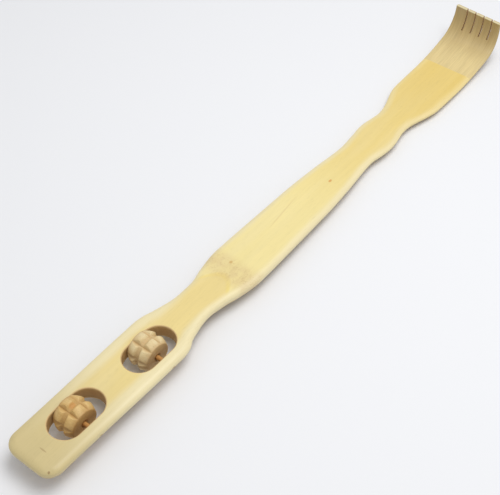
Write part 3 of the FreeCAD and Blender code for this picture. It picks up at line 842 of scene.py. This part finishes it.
def sawn_bamboo():
    """Bamboo cut across or beside its fibres and left rougher."""
    material, tree, surface = new_finish("bamboo_sawn", 0.62)
    strip = kept(tree, "strip")["Vector"]
    along, across, rise = apart(tree, strip)
    grain = use(tree, fibres, Place=strip, Thread_length=0.012, Thread_width=0.0004, Shift=5.0)
    deep = ramp(tree, sums(tree, "ABSOLUTE", rise), 0.0051, 0.0030)
    mixed = sums(tree, "MULTIPLY_ADD", grain["Streaks"], 0.5, times(tree, deep, 0.7))
    colour = blend(tree, sums(tree, "MINIMUM", mixed, 1.0), SAWN_LIGHT, SAWN_DARK)
    # The slit walls are brown sawn bamboo, painted lighter and more orange with painted light bounced between
    # the saw's walls.
    colour = blend(tree, ramp(tree, along, 0.47, 0.48), colour, SLIT_BROWN_BOUNCE)
    colour = lit(tree, colour, sums(tree, "MULTIPLY_ADD", grain["Threads"], 0.3, 0.85))
    tree.links.new(colour, surface["Base Color"])
    tree.links.new(bump(tree, grain["Threads"], 0.5, 0.0001), surface["Normal"])
    return material


sawn = sawn_bamboo()

# %% [markdown]
# ## Cut the slat
#
# The holes are cut with Boolean modifiers, and the evaluated result becomes the piece's
# plain mesh. Walls of a hole get their place in the bamboo from where they are.

# %% Boolean cuts
slat.data.materials.append(planed)
for cutter in cutters:
    cutter.data.materials.clear()
    cutter.data.materials.append(sawn)
    cut = slat.modifiers.new(cutter.name, "BOOLEAN")
    cut.operation = "DIFFERENCE"
    cut.solver = "EXACT"
    cut.material_mode = "TRANSFER"
    cut.object = cutter
carved = evaluated_mesh(slat, "bamboo_slat_body")
for spare in [slat] + cutters:
    bpy.data.objects.remove(spare)
print("slat: %d faces after the cuts, %d materials" % (len(carved.data.polygons), len(carved.data.materials)))

# %% [markdown]
# ## Places in the bamboo
#
# Bamboo's fibres run along the stem, and here they bend with the claw. So each point of
# the carved slat is given its place in the straight strip that it was bent from: along
# it, across it, and above or below the middle of its thickness. A second number tells
# how far a point lies towards the edge: below 0 on the flat face, up to 1 at the edge.

# %% Unbend each point
def unbent(x, z):
    """Place along the straight strip, and height over its upper face."""
    bend = math.atan2(x - BEND_FROM, HEEL_RADIUS - z)
    if x <= BEND_FROM:
        along, height = x, z
    elif bend <= HEEL_TURN:
        along = BEND_FROM + bend * HEEL_RADIUS
        height = HEEL_RADIUS - math.hypot(x - BEND_FROM, HEEL_RADIUS - z)
    else:
        heel_x, heel_z, heel_slope = spine(HEEL_END)
        hub_x = heel_x - CLAW_RADIUS * math.sin(heel_slope)
        hub_z = heel_z + CLAW_RADIUS * math.cos(heel_slope)
        along = HEEL_END + (math.atan2(x - hub_x, hub_z - z) - HEEL_TURN) * CLAW_RADIUS
        height = CLAW_RADIUS - math.hypot(x - hub_x, hub_z - z)
    return along, height


UNBEND_ROUNDS = 8


def strip_place(point):
    """Place along, across and through the straight strip, from the slat's own axes in mm."""
    x, y, z = point
    along, height = unbent(x, z)
    # The bow and the curl depend on the place along, so it is found in a few rounds.
    for again in range(UNBEND_ROUNDS):
        side = y - flowing(BOW, along)
        along, height = unbent(x + curled_back(along, side), z)
    return along, side, height + flowing(THICKNESSES, along) / 2


def edge_share(along, side):
    """0 where the flat face ends, 1 at the slat's edge, below 0 on the flat."""
    edge = flowing(UPPER_EDGES, along)
    flat_half = flowing(WIDTHS, along) / 2 - edge
    return (abs(side) - flat_half) / edge


def mark_places(item):
    """Give each point its place in the straight strip, and its share of the rounded edge."""
    found = [strip_place(vert.co / MM) for vert in item.data.vertices]
    strip = item.data.attributes.new("strip", "FLOAT_VECTOR", "POINT")
    strip.data.foreach_set("vector", [number * MM for place in found for number in place])
    edge = item.data.attributes.new("edge", "FLOAT", "POINT")
    edge.data.foreach_set("value", [max(-4.0, edge_share(along, side)) for along, side, rise in found])


def shade(item, degrees):
    """Smooth shading, with edges sharp where faces turn by more than that."""
    item.data.shade_smooth()
    item.data.set_sharp_from_angle(angle=math.radians(degrees))


def stand_up(item, body, node):
    """Carry a piece over to the table, where it takes the place of its node."""
    item.data.transform(STAND)
    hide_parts(node)
    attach(item, body)


mark_places(carved)
shade(carved, 32)
stand_up(carved, "slat", "bamboo_slat")
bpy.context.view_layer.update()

# %% [markdown]
# ## A roller's profile
#
# A roller was turned on a lathe, then grooved. The line below is the turner's profile:
# up the hollow at one end of the bore, over the end face, along the crown with the groove
# round its middle, and back through the bore. Four numbers go with each of its points: the
# radius, the place along the axle, the radius before the rim was rounded, and how far a
# flute may move the point.

# %% Turned profile
ROLLER_RADIUS = 12.2
ROLLER_LENGTH = 16.2
ROLLER_CROWN = 13.5
ROLLER_RIM = 0.8
BORE_RADIUS = 1.58
MOUTH_RADIUS = 3.0
MOUTH_DEPTH = 1.8
WAIST_GROOVE_TOP = 2.8
WAIST_GROOVE_FLOOR = 0.9
WAIST_GROOVE_DEPTH = 2.2
CROWN_STEPS = 56
END_STEPS = 8
CREASE = 0.22


def soft_least(first, second, reach):
    """The smaller of two numbers, with a soft change-over."""
    near = max(reach - abs(first - second), 0.0) / reach
    return min(first, second) - near * near * reach / 4


def turned_radius(side):
    """Radius of the crown with the groove round its middle."""
    crown = ROLLER_RADIUS - ROLLER_CROWN + math.sqrt(ROLLER_CROWN ** 2 - side ** 2)
    slope = WAIST_GROOVE_DEPTH / (WAIST_GROOVE_TOP - WAIST_GROOVE_FLOOR)
    groove = ROLLER_RADIUS - WAIST_GROOVE_DEPTH + slope * max(abs(side) - WAIST_GROOVE_FLOOR, 0.0)
    return soft_least(crown, groove, CREASE * 2)


def roller_profile():
    """The turner's line; one half is laid out and then mirrored for the other end."""
    half = ROLLER_LENGTH / 2
    shoulder = turned_radius(half - ROLLER_RIM)
    line = [(BORE_RADIUS, half - MOUTH_DEPTH, 0.0, 0.0)]
    for i in range(END_STEPS + 1):
        share = i / END_STEPS
        radius = MOUTH_RADIUS + (shoulder - ROLLER_RIM - MOUTH_RADIUS) * share
        line.append((radius, half, shoulder, share))
    for i in range(1, RIM_STEPS):
        turn = math.pi / 2 * i / RIM_STEPS
        line.append((shoulder - ROLLER_RIM * (1 - math.sin(turn)),
                     half - ROLLER_RIM * (1 - math.cos(turn)), shoulder, 1.0))
    for i in range(CROWN_STEPS // 2 + 1):
        side = (half - ROLLER_RIM) * (1 - 2 * i / CROWN_STEPS)
        radius = turned_radius(side)
        line.append((radius, side, radius, 1.0))
    other_end = [(radius, -side, skin, share) for radius, side, skin, share in reversed(line[:-1])]
    return line + other_end


profile_line = roller_profile()
print("points in the profile: %d, radius at the middle %.2f mm" % (len(profile_line), turned_radius(0)))

# %% [markdown]
# ## Spinning and fluting a roller
#
# A roller follows a rule all round, so Geometry Nodes make it. The tree lays out a grid
# with one column for each angle and one row for each point of the profile, moves every
# grid point to its place round the axle, and lets V-shaped flutes cut into the skin.
# The count, depth and angle of the flutes are inputs, so the same tree suits any roller.

# %% The roller's tree
AROUND = 168
SEAM_GAP = 0.004
FLUTE_COUNT = 7
FLUTE_BOTTOM = 9.6
FLUTE_HALF_ANGLE = math.radians(48)


def read_profile(tree, source, row, title):
    """A number kept on the profile's points, read for each row of the grid."""
    named = add(tree, "GeometryNodeInputNamedAttribute", Name=title)
    named.data_type = "FLOAT"
    sample = add(tree, "GeometryNodeSampleIndex", Geometry=source.outputs["Geometry"], Index=row)
    sample.data_type = "FLOAT"
    tree.links.new(named.outputs["Attribute"], sample.inputs["Value"])
    return sample.outputs["Value"]


def roller_tree():
    """The turner's profile spun round the axle, with flutes cut into its skin."""
    tree, source, sink = new_tree("Fluted roller", [
        ("Flutes", "NodeSocketInt", FLUTE_COUNT),
        ("Flute bottom", "NodeSocketFloat", FLUTE_BOTTOM * MM),
        ("Flute slope", "NodeSocketFloat", 1.0), ("Crease", "NodeSocketFloat", CREASE * MM),
        ("Rows", "NodeSocketInt", 10), ("Around", "NodeSocketInt", AROUND),
        ("Material", "NodeSocketMaterial", None)])
    given = source.outputs
    columns = plus(tree, given["Rows"], 1.0)
    grid = add(tree, "GeometryNodeMeshGrid", Vertices_X=plus(tree, given["Around"], 1.0),
               Vertices_Y=columns)
    index = add(tree, "GeometryNodeInputIndex").outputs[0]
    column = sums(tree, "FLOOR", sums(tree, "DIVIDE", plus(tree, index, 0.5), columns))
    row = minus(tree, index, times(tree, column, columns))
    row = sums(tree, "ROUND", sums(tree, "FLOORED_MODULO", row, given["Rows"]))
    radius = read_profile(tree, source, row, "radius")
    side = read_profile(tree, source, row, "side")
    skin = read_profile(tree, source, row, "skin")
    share = read_profile(tree, source, row, "share")
    angle = sums(tree, "DIVIDE", times(tree, column, 2 * math.pi), given["Around"])
    pitch = sums(tree, "DIVIDE", 2 * math.pi, given["Flutes"])
    beside = plus(tree, angle, times(tree, pitch, 0.5))
    beside = sums(tree, "FLOORED_MODULO", beside, pitch)
    beside = sums(tree, "ABSOLUTE", minus(tree, beside, times(tree, pitch, 0.5)))
    steep = times(tree, sums(tree, "SINE", beside), given["Flute slope"])
    lean_in = minus(tree, sums(tree, "COSINE", beside), steep)
    flute = sums(tree, "DIVIDE", given["Flute bottom"], sums(tree, "MAXIMUM", lean_in, 0.2))
    left = sums(tree, "SMOOTH_MIN", skin, flute, given["Crease"])
    loss = times(tree, share, minus(tree, skin, left))
    cut = minus(tree, radius, loss)
    place = together(tree, times(tree, cut, sums(tree, "SINE", angle)), side,
                     times(tree, cut, sums(tree, "COSINE", angle)))
    move = add(tree, "GeometryNodeSetPosition", Geometry=grid.outputs["Mesh"], Position=place)
    close = add(tree, "GeometryNodeMergeByDistance", Geometry=move.outputs[0],
                Distance=SEAM_GAP * MM)
    keep = add(tree, "GeometryNodeStoreNamedAttribute", Geometry=close.outputs[0], Name="turned")
    keep.data_type = "FLOAT_VECTOR"
    here = add(tree, "GeometryNodeInputPosition").outputs[0]
    tree.links.new(here, keep.inputs["Value"])
    end_tree(tree, keep.outputs[0], source, sink)
    return tree


spin_and_flute = roller_tree()
print("nodes in the roller's tree:", len(spin_and_flute.nodes))

# %% [markdown]
# ## Roller wood
#
# The rollers are a plain light hardwood with a fine, straight grain along the axle. One
# has darkened to an orange brown, the other is paler. The end faces show end grain, which
# is always darker, and the grooves are painted darker with painted shade. The pattern
# reads the place on the roller before it was put on its pin, so it turns with the roller.
# One knob of the darker roller is burnished.

# %% Roller wood finish
BURNISHED = paint(204, 148, 78)
BURNISH_AT = Vector((4.4, 0.75, 9.2)) * MM
BURNISH_SIZE = Vector((2.6, 2.4, 2.6)) * MM


def roller_wood(name, light_tone, main_tone, dark_tone, shift, burnish):
    """Turned hardwood, darker at its ends, with painted shade in its grooves, burnished on one knob."""
    material, tree, surface = new_finish(name, 0.55)
    turned = kept(tree, "turned")["Vector"]
    x, y, z = apart(tree, turned)
    grain = use(tree, fibres, Place=together(tree, y, x, z), Thread_length=0.009,
                Thread_width=0.0005, Shift=shift)
    colour = blend(tree, ramp(tree, grain["Streaks"], 0.35, 0.65), light_tone, main_tone)
    radius = sums(tree, "SQRT", plus(tree, times(tree, x, x), times(tree, z, z)))
    # Painted shade: the flutes and the waist groove are darkened where the radius is small.
    groove_shade = ramp(tree, radius, 0.0112, 0.0096)
    colour = blend(tree, times(tree, groove_shade, 0.45), colour, dark_tone)
    end = ramp(tree, sums(tree, "ABSOLUTE", y), 0.0074, 0.0081)
    colour = blend(tree, times(tree, end, 0.3), colour, dark_tone)
    mask = use(tree, spot, Place=turned, Middle=BURNISH_AT, Size=BURNISH_SIZE)
    colour = blend(tree, times(tree, mask["Mask"], burnish), colour, BURNISHED)
    light = sums(tree, "MULTIPLY_ADD", grain["Threads"], 0.3, 0.85)
    colour = lit(tree, colour, minus(tree, light, times(tree, grain["Pores"], 0.10)))
    tree.links.new(colour, surface["Base Color"])
    tree.links.new(bump(tree, grain["Threads"], 0.35, 0.0001), surface["Normal"])
    return material


orange_wood = roller_wood("roller_wood_orange", paint(222, 188, 124), paint(208, 170, 104),
                          paint(168, 122, 66), 2.0, 0.75)
pale_wood = roller_wood("roller_wood_pale", paint(232, 212, 164), paint(220, 194, 142),
                        paint(184, 144, 92), 9.0, 0.0)

# %% [markdown]
# ## Pin bamboo
#
# The axle pins are split bamboo sticks rubbed round: warm brown, with fibres along them
# and paler where they were sanded flush. The finish reads Object coordinates, with the
# pin's middle taken off, so the pattern sits on the stick.

# %% Pin finish
def pin_bamboo(name, middle, shift):
    """A bamboo stick with fibres along its length."""
    material, tree, surface = new_finish(name, 0.5)
    here = tree.nodes.new("ShaderNodeTexCoord").outputs["Object"]
    x, y, z = apart(tree, vectors(tree, "SUBTRACT", here, middle))
    grain = use(tree, fibres, Place=together(tree, y, x, z), Thread_length=0.012,
                Thread_width=0.0003, Shift=shift)
    colour = blend(tree, ramp(tree, grain["Streaks"], 0.35, 0.65), paint(206, 152, 84), paint(176, 120, 62))
    end = ramp(tree, sums(tree, "ABSOLUTE", y), 0.0170, 0.0176)
    colour = blend(tree, end, colour, paint(190, 164, 116))
    tree.links.new(colour, surface["Base Color"])
    tree.links.new(bump(tree, grain["Threads"], 0.4, 0.00008), surface["Normal"])
    return material


for name, middle, shift in (("outer_pin", outer_axle, 3.0), ("inner_pin", inner_axle, 7.0)):
    stick = sticks[name]
    stick.data.materials.clear()
    stick.data.materials.append(pin_bamboo(name + "_bamboo", middle, shift))
    shade(stick, 40)
    stand_up(stick, "slat", name)

# %% [markdown]
# ## The two rollers
#
# Both rollers come from one tree and differ in their wood, in how far they have slid
# along their pins, and in how far they have turned. A finished roller takes the place
# of its node, on its own body, so it turns when the joint turns.

# %% Make both rollers
SLID = {"outer": 1.6, "inner": 0.7}
TURNED = {"outer": -24, "inner": -28}


def profile_object():
    """The turner's line as loose points that carry their numbers."""
    item = seed_object("roller_profile")
    item.data.from_pydata([(radius * MM, side * MM, 0) for radius, side, skin, share in profile_line], [], [])
    columns = list(zip(*profile_line))
    for title, column, unit in (("radius", columns[0], MM), ("side", columns[1], MM),
                                ("skin", columns[2], MM), ("share", columns[3], 1)):
        layer = item.data.attributes.new(title, "FLOAT", "POINT")
        layer.data.foreach_set("value", [number * unit for number in column])
    return item


def make_roller(name, material, at, side, turned):
    """A roller at its place on the slat's pin, in the slat's own axes."""
    line = profile_object()
    spin = line.modifiers.new("Fluted roller", "NODES")
    spin.node_group = spin_and_flute
    fill_inputs(spin, {"Flutes": FLUTE_COUNT, "Flute bottom": FLUTE_BOTTOM * MM,
                       "Flute slope": 1 / math.tan(FLUTE_HALF_ANGLE), "Crease": CREASE * MM,
                       "Rows": len(profile_line), "Around": AROUND, "Material": material})
    item = evaluated_mesh(line, name)
    bpy.data.objects.remove(line)
    build = bmesh.new()
    build.from_mesh(item.data)
    bmesh.ops.recalc_face_normals(build, faces=build.faces)
    build.to_mesh(item.data)
    build.free()
    place = Matrix.Translation(Vector((at, side, -SLAT_THICK / 2)) * MM)
    item.data.transform(place @ Matrix.Rotation(math.radians(turned), 4, "Y"))
    shade(item, 40)
    print("%s: %d faces" % (name, len(item.data.polygons)))
    return item


outer = make_roller("outer_roller_turned", orange_wood, OUTER_PIN_AT, SLID["outer"], TURNED["outer"])
inner = make_roller("inner_roller_turned", pale_wood, INNER_PIN_AT, SLID["inner"], TURNED["inner"])
stand_up(outer, "outer_roller", "outer_roller")
stand_up(inner, "inner_roller", "inner_roller")

# %% [markdown]
# ## The table
#
# The object lies on a plain pale table. A soft sky lights it, with one broad lamp high
# over its near side, so that the shadow stays close to the slat. Lamp and sky together
# are set so that a colour renders about as written.

# %% Floor, sky and lamp
FLOOR_HALF = 4.0

floor_build = bmesh.new()
bmesh.ops.create_grid(floor_build, x_segments=1, y_segments=1, size=FLOOR_HALF)
floor = from_bmesh("table_top", floor_build)
table_paint = bpy.data.materials.new("table_paint")
table_paint.use_nodes = True
table_surface = table_paint.node_tree.nodes["Principled BSDF"]
table_surface.inputs["Base Color"].default_value = paint(239, 240, 243)
table_surface.inputs["Roughness"].default_value = 0.9
floor.data.materials.append(table_paint)

sky = bpy.data.worlds.new("sky")
bpy.context.scene.world = sky
sky.use_nodes = True
sky.node_tree.nodes["Background"].inputs["Color"].default_value = (1, 1, 1, 1)
sky.node_tree.nodes["Background"].inputs["Strength"].default_value = 0.55

lamp_data = bpy.data.lights.new("window_light", "AREA")
lamp_data.shape = "RECTANGLE"
lamp_data.size = 0.80
lamp_data.size_y = 0.60
lamp_data.energy = 7.1
lamp = in_scene("window_light", lamp_data)
lamp.location = (0.16, -0.20, 1.08)
lamp.rotation_mode = "QUATERNION"
lamp.rotation_quaternion = (Vector((0, 0, 0)) - lamp.location).to_track_quat("-Z", "Y")
bpy.context.scene.view_settings.view_transform = "Standard"
